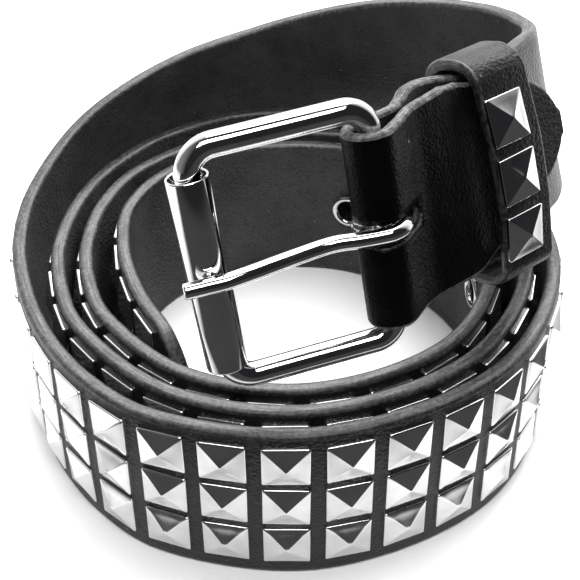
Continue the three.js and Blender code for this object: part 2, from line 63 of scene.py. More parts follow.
# turn is in degrees wound off from the tip, reach a share of coil_radius, rise a share of strap_width,
# and lean is in degrees, top inwards.
route = [
    dict(turn=t, reach=r, rise=z, lean=a) for t, r, z, a in [
        (0, 1.025, 0, 0), (9, 0.958, 0, 0), (18, 0.913, 0, 0), (30, 0.882, 0, 0),
        (44, 0.872, 0, 0), (62, 0.9, 0, 0), (84, 0.982, 0, 0), (106, 1.03, 0, 0),
        (135, 1.04, 0, 0), (170, 1.042, 0, 0), (206, 1.034, 0, 0), (240, 1.026, 0, 0),
        (284, 1.028, 0, 0), (324, 1.026, 0, 0), (356, 1.01, 0, 0), (388, 0.965, 0, 0),
        (404, 0.952, 0, 0), (422, 0.958, 0, 0), (444, 1.0, 0, 0), (464, 1.04, 0, 0),
        (495, 1.06, 0, 0), (540, 1.058, 0, 0), (600, 1.046, 0, 0), (644, 1.036, 0, 0),
        (684, 1.03, 0, 0), (716, 1.014, 0, 0), (748, 0.97, 0, 0), (764, 0.957, 0, 0),
        (782, 0.966, 0, 0), (804, 1.004, 0, 0), (820, 1.05, 0, 0), (838, 1.11, 0, 0),
        (862, 1.166, 0, 0), (890, 1.13, 0, 0), (930, 1.085, 0, 0), (965, 1.055, 0, 0),
        (1004, 1.042, 0, 0), (1044, 1.038, 0, 0), (1076, 1.044, 0, 0), (1092, 1.02, 0, 0),
        (1108, 0.994, 0, 0), (1124, 0.993, 0.014, 0), (1140, 1.026, 0.058, 0),
        (1156, 1.058, 0.125, 0), (1177, 1.1, 0.255, 1), (1194, 1.12, 0.37, 2),
        (1210, 1.15, 0.468, 3), (1228, 1.17, 0.582, 5), (1249, 1.143, 0.778, 8),
        (1268, 1.106, 0.93, 11), (1280, 1.08, 1.01, 13), (1290, 1.028, 1.075, 14),
        (1297, 0.975, 1.12, 15), (1304, 0.912, 1.165, 15), (1312, 0.82, 1.22, 16),
        (1320, 0.715, 1.265, 17), (1332, 0.6, 1.295, 19), (1342.5, 0.5, 1.3, 20),
    ]
]
bar_seat = dict(turn=1388.5, reach=0.555, rise=1.392)
flap_heading = 43.0
bar_lean = 13.0

# From the keeper to the fold, and then the flap: shares of strap_width ahead of the bar, behind it and
# up it. width and turned are shares too: of the strap's width, and of the turn to the keeper's stand.
bulge = [
    dict(ahead=0.68, behind=0.15, rise=-0.04),
    dict(ahead=0.54, behind=0.172, rise=-0.01),
    dict(ahead=0.43, behind=0.155, rise=0.005),
    dict(ahead=0.33, behind=0.105, rise=0.005),
    dict(ahead=0.24, behind=0.078, rise=0),
]
flap = [
    dict(ahead=0.14, behind=-0.055, rise=0, width=1, turned=0),
    dict(ahead=0.26, behind=-0.02, rise=0, width=1, turned=0.3),
    dict(ahead=0.4, behind=-0.018, rise=0, width=1, turned=0.6),
    dict(ahead=0.54, behind=-0.012, rise=0, width=1, turned=0.85),
    dict(ahead=0.7, behind=0.016, rise=0.01, width=0.92, turned=1),
    dict(ahead=0.87, behind=0.018, rise=0.03, width=0.78, turned=1),
    dict(ahead=1.05, behind=-0.01, rise=0.05, width=0.62, turned=1),
    dict(ahead=1.27, behind=-0.065, rise=0.06, width=0.5, turned=1),
]
fold_steps = 8


def unit(v):
    return v / np.linalg.norm(v)


def heading(angle):
    return np.array([math.cos(math.radians(angle)), math.sin(math.radians(angle)), 0.0])


def place_on_coil(row):
    place = heading(start_angle - row["turn"]) * (coil_radius * row["reach"] + lap_pitch * row["turn"] / 360)
    place[2] = strap_width * (0.5 + row["rise"])
    return place


def standing(outward, lean):
    return np.array([0, 0, math.cos(math.radians(lean))]) - outward * math.sin(math.radians(lean))


bar_axis = standing(heading(flap_heading - 90), bar_lean)
flap_along = heading(flap_heading)
flap_along = unit(flap_along - bar_axis * (flap_along @ bar_axis))
behind_bar = np.cross(bar_axis, flap_along)
bar_middle = place_on_coil(bar_seat)
belt_shift = np.array(frame["joints"][0]["pos_m"]) / mm - bar_middle


def place_at_bar(ahead, behind, rise=0.0):
    return bar_middle + flap_along * ahead + behind_bar * behind + bar_axis * rise


def place_of_row(row):
    return place_at_bar(*(row[way] * strap_width for way in ("ahead", "behind", "rise")))


def strap_points():
    places = [place_on_coil(row) for row in route]
    points = []
    for i, row in enumerate(route):
        onward = places[min(i + 1, len(places) - 1)] - places[max(i - 1, 0)]
        onward = unit(np.array([onward[0], onward[1], 0]))
        outward = np.cross([0, 0, 1], onward)
        points.append((places[i], standing(outward, row["lean"]), strap_thickness, 1.0))
    keeper_stand = points[-1][1]
    for i, row in enumerate(bulge):
        share = (i + 1) / len(bulge)
        stand = unit(keeper_stand * (1 - share) + bar_axis * share)
        thickness = strap_thickness + (fold_thickness - strap_thickness) * share
        points.append((place_of_row(row), stand, thickness, 1.0))
    fold_radius = wire / 2 + bar_clearance + fold_thickness / 2
    for i in range(fold_steps + 1):
        angle = math.pi * i / fold_steps
        place = place_at_bar(-fold_radius * math.sin(angle), fold_radius * math.cos(angle))
        points.append((place, bar_axis, fold_thickness, 1.0))
    for row in flap:
        stand = unit(bar_axis * (1 - row["turned"]) + keeper_stand * row["turned"])
        points.append((place_of_row(row), stand, fold_thickness, row["width"]))
    return points


# A smooth line through points, with tangents spaced by the root of the distance between them. Each
# point of the line comes with its row, which counts the given points and the share of the way between.
def smooth_line(points, per_span, closed=False):
    points = [np.asarray(p, float) for p in points]
    count, least_gap = len(points), 1e-6
    spans = count if closed else count - 1
    line, rows = [], []
    for span in range(spans):
        p1, p2 = points[span], points[(span + 1) % count]
        p0 = points[span - 1] if closed or span > 0 else 2 * p1 - p2
        p3 = points[(span + 2) % count] if closed or span + 2 < count else 2 * p2 - p1
        d0, d1, d2 = (max(np.linalg.norm(b - a), least_gap) ** 0.5 for a, b in ((p0, p1), (p1, p2), (p2, p3)))
        t1 = ((p1 - p0) / d0 - (p2 - p0) / (d0 + d1) + (p2 - p1) / d1) * d1
        t2 = ((p2 - p1) / d1 - (p3 - p1) / (d1 + d2) + (p3 - p2) / d2) * d1
        last = span == spans - 1 and not closed
        for t in np.linspace(0, 1, per_span + 1)[: None if last else -1]:
            line.append(p1 + t1 * t + (3 * (p2 - p1) - 2 * t1 - t2) * t**2 + (2 * (p1 - p2) + t1 + t2) * t**3)
            rows.append(span + t)
    return np.array(line), np.array(rows)


strap_rows = strap_points()
steps_per_row = 40
walk, walk_rows = smooth_line([row[0] for row in strap_rows], steps_per_row)
walk[:, 2] = np.maximum(walk[:, 2], strap_width / 2)
walk_at = np.concatenate([[0], np.cumsum(np.linalg.norm(np.diff(walk, axis=0), axis=1))])
strap_length = walk_at[-1]
keeper_distance = walk_at[(len(route) - 1) * steps_per_row]
fold_start = walk_at[(len(route) + len(bulge)) * steps_per_row]


# Where the strap's middle is at each distance from the tip, with its directions along, up its width
# and out of the coated face, and its thickness and width there.
def strap_at(distance):
    distance = np.clip(np.atleast_1d(distance), 0, strap_length)

    def on_line(at):
        return np.stack([np.interp(at, walk_at, walk[:, k]) for k in range(3)], 1)

    look = 0.4
    row = np.interp(distance, walk_at, walk_rows)
    low = np.minimum(row.astype(int), len(strap_rows) - 2)
    share = (row - low)[:, None]
    stands = np.array([r[1] for r in strap_rows])
    sizes = np.array([r[2:] for r in strap_rows])
    stand = stands[low] * (1 - share) + stands[low + 1] * share
    size = sizes[low] * (1 - share) + sizes[low + 1] * share
    along = on_line(np.minimum(distance + look, strap_length)) - on_line(np.maximum(distance - look, 0))
    along /= np.linalg.norm(along, axis=1)[:, None]
    up = stand - along * (stand * along).sum(1)[:, None]
    up /= np.linalg.norm(up, axis=1)[:, None]
    out = np.cross(up, along)
    return on_line(distance) + belt_shift, along, up, out, size[:, 0], size[:, 1] * strap_width


# The strap's outline in section: the flat of the face, a rounded edge, the flat of the back and the
# other edge.
edge_round = 1.0
edge_round_most = 0.85
end_share_least = 0.3
edge_arc_steps = 5
face_shares = [0.55, 0.2, -0.2, -0.55]


def strap_outline(thickness, width):
    half, flat = width / 2, thickness / 2
    radius = min(edge_round, flat * edge_round_most)
    points = []
    for side in (1, -1):
        points += [(side * flat, -side * share * half) for share in face_shares]
        for corner in (side, -side):
            for i in range(edge_arc_steps + 1):
                angle = math.pi / 2 * (i if corner == side else edge_arc_steps - i) / edge_arc_steps
                points.append((
                    corner * (flat - radius * (1 - math.cos(angle))),
                    side * (half - radius * (1 - math.sin(angle))),
                ))
    return points


# The share of its width that the strap has where its two ends are cut round.
def end_rounding(distance):
    share = min(1.0, distance / tip_length, (strap_length - distance) / flap_end_length)
    return max(math.sqrt(1 - (1 - share) ** 2), end_share_least)


# A mesh skinned over rings of points, all with the same number of points. The last ring joins the
# first if it is closed, and otherwise both ends are capped.
def skin(name, rings, closed=False, face_slots=None, uv=None):
    sides, count = len(rings[0]), len(rings)
    faces, slots, corners = [], [], []
    for i in range(count if closed else count - 1):
        for j in range(sides):
            a, b = i * sides + j, i * sides + (j + 1) % sides
            c, d = (i + 1) % count * sides + (j + 1) % sides, (i + 1) % count * sides + j
            faces.append((a, b, c, d))
            slots.append(face_slots(i, j) if face_slots else 0)
            if uv:
                corners += [uv(i, j), uv(i, j + 1), uv(i + 1, j + 1), uv(i + 1, j)]
    if not closed:
        for ring, turn in ((0, -1), (count - 1, 1)):
            faces.append(tuple(ring * sides + j for j in range(sides))[::turn])
            slots.append(face_slots(ring, -1) if face_slots else 0)
            if uv:
                corners += [uv(ring, j) for j in range(sides)][::turn]
    mesh = bpy.data.meshes.new(name)
    mesh.from_pydata(np.concatenate(rings) * mm, [], faces)
    mesh.polygons.foreach_set("material_index", slots)
    mesh.polygons.foreach_set("use_smooth", [True] * len(faces))
    if uv:
        layer = mesh.uv_layers.new(name="laid_flat")
        layer.data.foreach_set("uv", np.array(corners, float).ravel())
    mesh.validate()
    mesh.update()
    piece = bpy.data.objects.new(name, mesh)
    bpy.context.scene.collection.objects.link(piece)
    work = bmesh.new()
    work.from_mesh(mesh)
    bmesh.ops.recalc_face_normals(work, faces=work.faces)
    work.to_mesh(mesh)
    work.free()
    return piece


ring_step = 1.3
near_fold_step = 0.7
near_fold = 30.0
strap_marks = np.concatenate([
    tip_length * np.array([0, 0.01, 0.04, 0.1, 0.2, 0.32, 0.46, 0.62, 0.8]),
    np.arange(tip_length, fold_start - near_fold, ring_step),
    np.arange(fold_start - near_fold, strap_length - flap_end_length, near_fold_step),
    strap_length - flap_end_length * np.array([1, 0.86, 0.72, 0.58, 0.45, 0.33, 0.22, 0.13, 0.06, 0.02, 0]),
])
strap_places = strap_at(strap_marks)
strap_rings = []
for i, distance in enumerate(strap_marks):
    place, _, up, out, thickness, width = (part[i] for part in strap_places)
    outline = strap_outline(thickness, width * end_rounding(distance))
    strap_rings.append(np.array([place + out * depth + up * height for depth, height in outline]))

fold_edge_from = keeper_distance + raw_edge_past_keeper
painted_dark_to = strap_length - painted_dark_short_of_end
sides_of_strap = len(strap_rings[0])
around = np.linspace(0, 2 * (strap_width + strap_thickness) * mm, sides_of_strap + 1)
flat_sides = len(face_shares)


# The coated face is slot 0, the split back 1, the stained edges 2, the raw edges of the fold 3 and the
# back where the fold turns it to the front, smoother there and darker with painted shade, 4.
def strap_slot(i, j):
    on_face = j % sides_of_strap in (*range(flat_sides), sides_of_strap - 1)
    on_back = j in range(sides_of_strap // 2 - 1, sides_of_strap // 2 + flat_sides)
    folded = strap_marks[i] > fold_edge_from
    # Along the fold, short of the flap's end, the back takes the smoother leather darkened by painted shade.
    painted_dark = folded and strap_marks[i] < painted_dark_to
    if j >= 0 and (on_face or on_back):
        return 0 if on_face else 4 if painted_dark else 1
    return 3 if folded else 2


strap = skin(
    "strap_leather", strap_rings, face_slots=strap_slot,
    uv=lambda i, j: (strap_marks[i] * mm, around[j] if j >= 0 else 0.0),
)


# Starts a group of shader nodes, with the name, kind and first value of each input, and its outputs.
def start_group(name, inputs, outputs):
    group = bpy.data.node_groups.new(name, "ShaderNodeTree")
    for label, kind, value in inputs:
        socket = group.interface.new_socket(label, in_out="INPUT", socket_type=kind)
        socket.default_value = value
    for label, kind in outputs:
        group.interface.new_socket(label, in_out="OUTPUT", socket_type=kind)
    return group, group.nodes.new("NodeGroupInput"), group.nodes.new("NodeGroupOutput")


# Adds a node, sets its own values, and gives each named input a link or a value.
def add_node(tree, kind, links=(), **values):
    node = tree.nodes.new(kind)
    for label, value in values.items():
        if hasattr(node, label):
            setattr(node, label, value)
    for socket, source in dict(links).items():
        if hasattr(source, "is_linked"):
            tree.links.new(source, node.inputs[socket])
        else:
            node.inputs[socket].default_value = source
    return node


# Leather grain: cells of a fine pebble with soft noise between them, in metres on the object.
def grain_group():
    group, given, made = start_group(
        "leather_grain",
        [("Cell Scale", "NodeSocketFloat", 1400.0), ("Noise Scale", "NodeSocketFloat", 300.0),
         ("Cell Depth", "NodeSocketFloat", 0.5)],
        [("Height", "NodeSocketFloat"), ("Mottle", "NodeSocketFloat")],
    )
    place = add_node(group, "ShaderNodeTexCoord")
    cells = add_node(group, "ShaderNodeTexVoronoi", {
        "Vector": place.outputs["Object"], "Scale": given.outputs["Cell Scale"]}, feature="F1")
    noise = add_node(group, "ShaderNodeTexNoise", {
        "Vector": place.outputs["Object"], "Scale": given.outputs["Noise Scale"],
        "Detail": 6.0, "Roughness": 0.6})
    mottle = add_node(group, "ShaderNodeTexNoise", {
        "Vector": place.outputs["Object"], "Scale": 60.0, "Detail": 4.0, "Roughness": 0.55})
    depth = add_node(group, "ShaderNodeMath", {
        0: cells.outputs["Distance"], 1: given.outputs["Cell Depth"]}, operation="MULTIPLY")
    both = add_node(group, "ShaderNodeMath", {0: depth.outputs[0], 1: noise.outputs["Fac"]}, operation="ADD")
    group.links.new(both.outputs[0], made.inputs["Height"])
    group.links.new(mottle.outputs["Fac"], made.inputs["Mottle"])
    return group


leather_grain = grain_group()


# Dust: rare pale specks on black leather, as a mask.
def dust_group():
    group, given, made = start_group(
        "dust_specks",
        [("Scale", "NodeSocketFloat", 420.0), ("Size", "NodeSocketFloat", 0.12),
         ("Amount", "NodeSocketFloat", 0.5)],
        [("Mask", "NodeSocketFloat")],
    )
    place = add_node(group, "ShaderNodeTexCoord")
    cells = add_node(group, "ShaderNodeTexVoronoi", {
        "Vector": place.outputs["Object"], "Scale": given.outputs["Scale"]}, feature="F1")
    small = add_node(group, "ShaderNodeMath", {
        0: cells.outputs["Distance"], 1: given.outputs["Size"]}, operation="LESS_THAN")
    split = add_node(group, "ShaderNodeSeparateColor", {0: cells.outputs["Color"]})
    rare = add_node(group, "ShaderNodeMath", {0: split.outputs[0], 1: 0.93}, operation="GREATER_THAN")
    mask = add_node(group, "ShaderNodeMath", {0: small.outputs[0], 1: rare.outputs[0]}, operation="MULTIPLY")
    share = add_node(group, "ShaderNodeMath", {
        0: mask.outputs[0], 1: given.outputs["Amount"]}, operation="MULTIPLY")
    group.links.new(share.outputs[0], made.inputs["Mask"])
    return group


dust_specks = dust_group()


def start_material(name, **plain):
    material = bpy.data.materials.new(name)
    material.use_nodes = True
    tree = material.node_tree
    shader = tree.nodes["Principled BSDF"]
    for label, value in plain.items():
        shader.inputs[label.replace("_", " ")].default_value = value
    return material, tree, shader


def blend_colours(tree, factor, first, second):
    mix = tree.nodes.new("ShaderNodeMix")
    mix.data_type = "RGBA"
    for socket, value in ((mix.inputs[0], factor), (mix.inputs[6], first), (mix.inputs[7], second)):
        if hasattr(value, "is_linked"):
            tree.links.new(value, socket)
        else:
            socket.default_value = (*value, 1.0) if isinstance(value, tuple) else value
    return mix.outputs[2]


def ramp_value(tree, source, low, high, low_value, high_value):
    node = add_node(tree, "ShaderNodeMapRange", {0: source, 1: low, 2: high, 3: low_value, 4: high_value})
    return node.outputs[0]


# Black leather: two blacks mixed by the grain, with dust on it. rough is a pair, for smooth and dull
# patches.
def leather(name, dark, light, rough, grain_scale, grain_depth, bump, dust, shine):
    material, tree, shader = start_material(name, Specular_IOR_Level=shine)
    grain = add_node(tree, "ShaderNodeGroup", node_tree=leather_grain)
    grain.inputs["Cell Scale"].default_value = grain_scale
    grain.inputs["Cell Depth"].default_value = grain_depth
    specks = add_node(tree, "ShaderNodeGroup", node_tree=dust_specks)
    specks.inputs["Amount"].default_value = dust
    patches = ramp_value(tree, grain.outputs["Mottle"], 0.35, 0.65, 0.45, 1.0)
    pores = ramp_value(tree, grain.outputs["Height"], 0.35, 0.95, 0.0, 1.0)
    tone = add_node(tree, "ShaderNodeMath", {0: patches, 1: pores}, operation="MULTIPLY")
    colour = blend_colours(tree, tone.outputs[0], dark, light)
    colour = blend_colours(tree, specks.outputs["Mask"], colour, (0.35, 0.35, 0.35))
    tree.links.new(colour, shader.inputs["Base Color"])
    tree.links.new(
        ramp_value(tree, grain.outputs["Mottle"], 0.3, 0.7, rough[0], rough[1]), shader.inputs["Roughness"])
    relief = add_node(tree, "ShaderNodeBump", {
        "Height": grain.outputs["Height"], "Strength": bump, "Distance": 0.0003})
    tree.links.new(relief.outputs["Normal"], shader.inputs["Normal"])
    return material


face_leather = leather(
    "coated_face", dark=(0.004, 0.004, 0.005), light=(0.024, 0.024, 0.026), rough=(0.34, 0.44),
    grain_scale=1500.0, grain_depth=0.5, bump=0.8, dust=0.5, shine=0.45)
back_leather = leather(
    "split_back", dark=(0.004, 0.004, 0.005), light=(0.075, 0.075, 0.08), rough=(0.46, 0.6),
    grain_scale=1500.0, grain_depth=0.9, bump=1.0, dust=0.4, shine=0.45)
# The back where the fold turns it to the front: smoother, and darker than the leather's own black by painted
# shade.
fold_back_painted_dark = leather(
    "smooth_back_painted_dark", dark=(0.002, 0.002, 0.0025), light=(0.005, 0.005, 0.006), rough=(0.26, 0.4),
    grain_scale=1700.0, grain_depth=0.5, bump=0.6, dust=1.0, shine=0.08)


# Cut edges: stained grey-black, speckled, with burnished streaks that run along the strap.
def cut_edge(name, dark, light, speck_scale, rough):
    material, tree, shader = start_material(name, Specular_IOR_Level=0.8)
    laid = add_node(tree, "ShaderNodeUVMap", uv_map="laid_flat")
    streak_place = add_node(tree, "ShaderNodeMapping", {
        "Vector": laid.outputs[0], "Scale": (120.0, 900.0, 1.0)})
    streaks = add_node(tree, "ShaderNodeTexNoise", {
        "Vector": streak_place.outputs[0], "Scale": 1.0, "Detail": 5.0, "Roughness": 0.6})
    place = add_node(tree, "ShaderNodeTexCoord")
    specks = add_node(tree, "ShaderNodeTexNoise", {
        "Vector": place.outputs["Object"], "Scale": speck_scale, "Detail": 5.0, "Roughness": 0.7})
    mixed = add_node(tree, "ShaderNodeMath", {
        0: streaks.outputs["Fac"], 1: specks.outputs["Fac"]}, operation="MULTIPLY")
    tone = ramp_value(tree, mixed.outputs[0], 0.2, 0.37, 0.0, 1.0)
    tree.links.new(blend_colours(tree, tone, dark, light), shader.inputs["Base Color"])
    tree.links.new(
        ramp_value(tree, streaks.outputs["Fac"], 0.4, 0.65, rough[0], rough[1]), shader.inputs["Roughness"])
    relief = add_node(tree, "ShaderNodeBump", {
        "Height": mixed.outputs[0], "Strength": 0.5, "Distance": 0.0003})
    tree.links.new(relief.outputs["Normal"], shader.inputs["Normal"])
    return material


stained_edge = cut_edge(
    "stained_edge", dark=(0.004, 0.004, 0.005), light=(0.13, 0.13, 0.133),
    speck_scale=1100.0, rough=(0.46, 0.2))
raw_edge = cut_edge(
    "raw_fold_edge", dark=(0.008, 0.008, 0.008), light=(0.32, 0.32, 0.32),
    speck_scale=900.0, rough=(0.7, 0.4))
for finish in (face_leather, back_leather, stained_edge, raw_edge, fold_back_painted_dark):
    strap.data.materials.append(finish)


# Cuts one closed shape out of another, and keeps the result as the first one's mesh. The empty material
# slot that the cutter brings goes.
def cut_away(piece, cutter):
    cut = piece.modifiers.new("cut", "BOOLEAN")
    cut.operation, cut.solver, cut.object = "DIFFERENCE", "MANIFOLD", cutter
    bpy.context.view_layer.update()
    shown = bpy.context.evaluated_depsgraph_get()
    whole = piece.evaluated_get(shown)
    mesh = bpy.data.meshes.new_from_object(whole, preserve_all_data_layers=True, depsgraph=shown)
    if mesh.materials[-1] is None:
        mesh.materials.pop()
    piece.modifiers.clear()
    old = piece.data
    piece.data = mesh
    mesh.name = piece.name
    bpy.data.meshes.remove(old)
    bpy.data.objects.remove(cutter)


# The slot for the prong is punched across the fold, with round ends.
prong_wire = 3.0
slot_clearance = 0.9
slot_height = prong_wire + 2 * slot_clearance
slot_reach = wire / 2 + bar_clearance + prong_wire + 2 * slot_clearance
slot_arc_steps = 8
slot_line = []
for side in (1, -1):
    for i in range(slot_arc_steps + 1):
        angle = math.pi * (i / slot_arc_steps - 0.5)
        slot_line.append((
            side * (slot_reach - slot_height / 2 + slot_height / 2 * math.cos(angle)),
            side * slot_height / 2 * math.sin(angle),
        ))
slot_rings = [
    np.array([place_at_bar(x + slot_clearance, depth, z) + belt_shift for x, z in slot_line])
    for depth in (-slot_reach, slot_reach)
]
cut_away(strap, skin("slot_cutter", slot_rings))
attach(strap, "belt")
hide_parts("strap")

# Pyramid studs on the strap. Each is a square of plated sheet steel pressed into a low pyramid with
# slightly hollow facets, and its edges turned down into the leather. Three rows run up to the plain
# length before the keeper.
stud_size = 9.3
stud_rim = 0.6
stud_point = 1.5
stud_pitch = 11.742
row_pitch = 10.9
rows_of_studs = 3
rows_rise = 0.8
first_stud_edge = 11.5
plain_length = 62.0
stud_sink = 0.5
stud_tilt = 0.012
stud_twist = 0.008
eyelet_columns = [9, 11, 13, 15, 17]
chance = np.random.default_rng(7)

# Rings of a stud from its skirt to its point. size is a share of half the stud, and height is from the
# leather's face.
stud_levels = [
    dict(size=0.985, height=-stud_sink),
    dict(size=1.0, height=0.12),
    dict(size=1.0, height=stud_rim * 0.7),
    dict(size=0.985, height=stud_rim * 0.97),
    dict(size=0.95, height=stud_rim + stud_point * 0.04),
    dict(size=0.72, height=stud_rim + stud_point * 0.25),
    dict(size=0.42, height=stud_rim + stud_point * 0.55),
    dict(size=0.14, height=stud_rim + stud_point * 0.85),
    dict(size=0.045, height=stud_rim + stud_point * 0.945),
]
stud_top = stud_rim + stud_point * 0.965
ridge_round = 0.035
side_shares = [-(1 - ridge_round), -(1 - 4 * ridge_round), -0.35, 0.35, 1 - 4 * ridge_round, 1 - ridge_round]
facet_hollow = 0.07


def stud_points():
    half = stud_size / 2
    points = []
    for level in stud_levels:
        inner = 0.1 < level["size"] < 0.96
        for quarter in range(4):
            turn = math.pi / 2 * quarter
            for share in side_shares:
                x, y = level["size"] * half, level["size"] * half * share
                sag = facet_hollow * (1 - share**2) * math.sin(math.pi * level["size"]) if inner else 0.0
                points.append((
                    x * math.cos(turn) - y * math.sin(turn), x * math.sin(turn) + y * math.cos(turn),
                    level["height"] - sag,
                ))
    points.append((0, 0, stud_top))
    return np.array(points)


def stud_faces():
    around_stud = 4 * len(side_shares)
    faces = []
    for level in range(len(stud_levels) - 1):
        for j in range(around_stud):
            after = (j + 1) % around_stud
            faces.append((
                level * around_stud + j, level * around_stud + after,
                (level + 1) * around_stud + after, (level + 1) * around_stud + j,
            ))
    top = (len(stud_levels) - 1) * around_stud
    faces += [(top + j, top + (j + 1) % around_stud, top + around_stud) for j in range(around_stud)]
    return faces


# Sets one stud for each seat, a seat being its place, its two directions in the leather and outwards.
def set_studs(name, seats):
    shape, cells = stud_points(), stud_faces()
    points, faces = [], []
    for place, along, up, out in seats:
        tilt_along, tilt_up, twist = chance.normal(0, (stud_tilt, stud_tilt, stud_twist))
        out = unit(out + along * tilt_along + up * tilt_up)
        first = unit(along + up * twist - out * ((along + up * twist) @ out))
        second = np.cross(out, first)
        start = len(points) * len(shape)
        points.append(place + shape[:, :1] * first + shape[:, 1:2] * second + shape[:, 2:] * out)
        faces += [tuple(start + k for k in face) for face in cells]
    mesh = bpy.data.meshes.new(name)
    mesh.from_pydata(np.concatenate(points) * mm, [], faces)
    mesh.polygons.foreach_set("use_smooth", [True] * len(faces))
    mesh.update()
    piece = bpy.data.objects.new(name, mesh)
    bpy.context.scene.collection.objects.link(piece)
    return piece


columns = np.arange(
    first_stud_edge + stud_size / 2, keeper_distance - plain_length - stud_size / 2, stud_pitch)
seats = []
for column, (place, along, up, out) in enumerate(zip(*strap_at(columns)[:4])):
    for row in range(rows_of_studs):
        if row == (rows_of_studs - 1) / 2 and column in eyelet_columns:
            continue
        height = (row - (rows_of_studs - 1) / 2) * row_pitch + rows_rise
        seats.append((place + out * strap_thickness / 2 + up * height, along, -up, out))
strap_studs = set_studs("strap_studs", seats)


# Plated metal: nearly a mirror, with faint clouding, fine scratches and, by wave, slow ripples in it.
def plated(name, colour, smooth, cloudy, scratch, wave=0.0):
    material, tree, shader = start_material(name, Metallic=1.0)
    place = add_node(tree, "ShaderNodeTexCoord")
    cloud = add_node(tree, "ShaderNodeTexNoise", {
        "Vector": place.outputs["Object"], "Scale": 160.0, "Detail": 5.0, "Roughness": 0.6})
    fine = add_node(tree, "ShaderNodeTexNoise", {
        "Vector": place.outputs["Object"], "Scale": 2600.0, "Detail": 3.0, "Roughness": 0.6})
    slow = add_node(tree, "ShaderNodeTexNoise", {
        "Vector": place.outputs["Object"], "Scale": 90.0, "Detail": 1.0})
    clouded = 0.86
    shade = tuple(clouded * c for c in colour)
    tree.links.new(
        blend_colours(tree, ramp_value(tree, cloud.outputs["Fac"], 0.35, 0.65, 0.0, 1.0), shade, colour),
        shader.inputs["Base Color"])
    tree.links.new(
        ramp_value(tree, cloud.outputs["Fac"], 0.35, 0.7, smooth, cloudy), shader.inputs["Roughness"])
    height = add_node(tree, "ShaderNodeMath", {0: fine.outputs["Fac"], 1: scratch}, operation="MULTIPLY")
    waves = add_node(tree, "ShaderNodeMath", {0: slow.outputs["Fac"], 1: wave}, operation="MULTIPLY")
    total = add_node(tree, "ShaderNodeMath", {0: height.outputs[0], 1: waves.outputs[0]}, operation="ADD")
    relief = add_node(tree, "ShaderNodeBump", {
        "Height": total.outputs[0], "Strength": 1.0, "Distance": 0.0001})
    tree.links.new(relief.outputs["Normal"], shader.inputs["Normal"])
    return material


stud_plate = plated(
    "stud_plate", colour=(0.9, 0.9, 0.91), smooth=0.06, cloudy=0.14, scratch=0.02, wave=0.35)
strap_studs.data.materials.append(stud_plate)
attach(strap_studs, "belt")
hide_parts("strap")

# Eyelets. Each is a plated metal ring, rolled over the leather on both faces through a punched hole.
# They take the place of middle-row studs near the tip, for the prong to go through.
eyelet_hole = 5.8
eyelet_outside = 9.2
eyelet_wall = 0.55
eyelet_crown = 0.25
eyelet_lift = 0.05
neck_flare = 0.15
hole_ease = 0.2
hole_sides = 24
lap_gap = 0.5
rim_steps = 8
turned_sides = 40


# A shape turned about the line through a place, from a profile of radius and height along the line.
def turned(name, place, first, second, axis, profile):
    rings = []
    for i in range(turned_sides):
        angle = 2 * math.pi * i / turned_sides
        outward = first * math.cos(angle) + second * math.sin(angle)
        rings.append(np.array([place + outward * radius + axis * height for radius, height in profile]))
    return skin(name, rings, closed=True)


# An eyelet's section, as radius and height: a rolled rim on each face and the neck between them.
def eyelet_profile():
    inside = eyelet_hole / 2
    face = strap_thickness / 2 + eyelet_lift
    roll = (eyelet_outside / 2 - inside) / 2
    crown = eyelet_wall + eyelet_crown
    barrel = inside + eyelet_wall
    rim = []
    for i in range(rim_steps + 1):
        angle = math.pi * (1 - i / rim_steps)
        rim.append((inside + roll * (1 + math.cos(angle)), face + crown * math.sin(angle)))
    neck = [(barrel + neck_flare, face), (barrel, 0), (barrel + neck_flare, -face)]
    return rim + neck + [(radius, -height) for radius, height in reversed(rim)] + [(inside, 0)]


eyelet_metal = plated("eyelet_plate", colour=(0.78, 0.78, 0.79), smooth=0.08, cloudy=0.16, scratch=0.02)
hole_radius = eyelet_hole / 2 + eyelet_wall + hole_ease
for number, column in enumerate(eyelet_columns):
    place, along, up, out = (part[0] for part in strap_at(columns[column])[:4])
    place = place + up * rows_rise
    drill_line = [
        along * math.cos(a) * hole_radius + up * math.sin(a) * hole_radius
        for a in np.linspace(0, 2 * math.pi, hole_sides, endpoint=False)
    ]
    depth = strap_thickness / 2 + lap_gap / 2
    cut_away(strap, skin("eyelet_cutter", [
        np.array([place + point + out * side * depth for point in drill_line]) for side in (-1, 1)]))
    eyelet = turned(f"eyelet_ring_{number + 1}", place, along, up, out, eyelet_profile())
    eyelet.data.materials.append(eyelet_metal)
    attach(eyelet, "belt")
    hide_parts(f"eyelet_{number + 1}")

# The buckle's frame. Steel wire, 4.6 mm thick, bent to a rectangle with round corners and chromed.
# The strap folds round its rear bar.
frame_length = 32.0
side_clearance = 1.2
front_corner_radius = 5.2
rear_corner_radius = 4.2
frame_heading = 194.5
frame_height = strap_width + 2 * side_clearance + wire
frame_along = heading(frame_heading)
frame_along = unit(frame_along - bar_axis * (frame_along @ bar_axis))
frame_front = -np.cross(frame_along, bar_axis)


def place_on_frame(along, front, up):
    return bar_middle + belt_shift + frame_along * along + frame_front * front + bar_axis * up


frame_corner_steps = 12
frame_bar_steps = 6
wire_sides = 28


def frame_ring(centre_along, centre_up, corner_radius, outward_along, outward_up):
    ring = []
    for j in range(wire_sides):
        angle = 2 * math.pi * j / wire_sides
        reach = corner_radius + wire / 2 * math.cos(angle)
        ring.append(place_on_frame(
            centre_along + outward_along * reach, wire / 2 * math.sin(angle), centre_up + outward_up * reach))
    return np.array(ring)


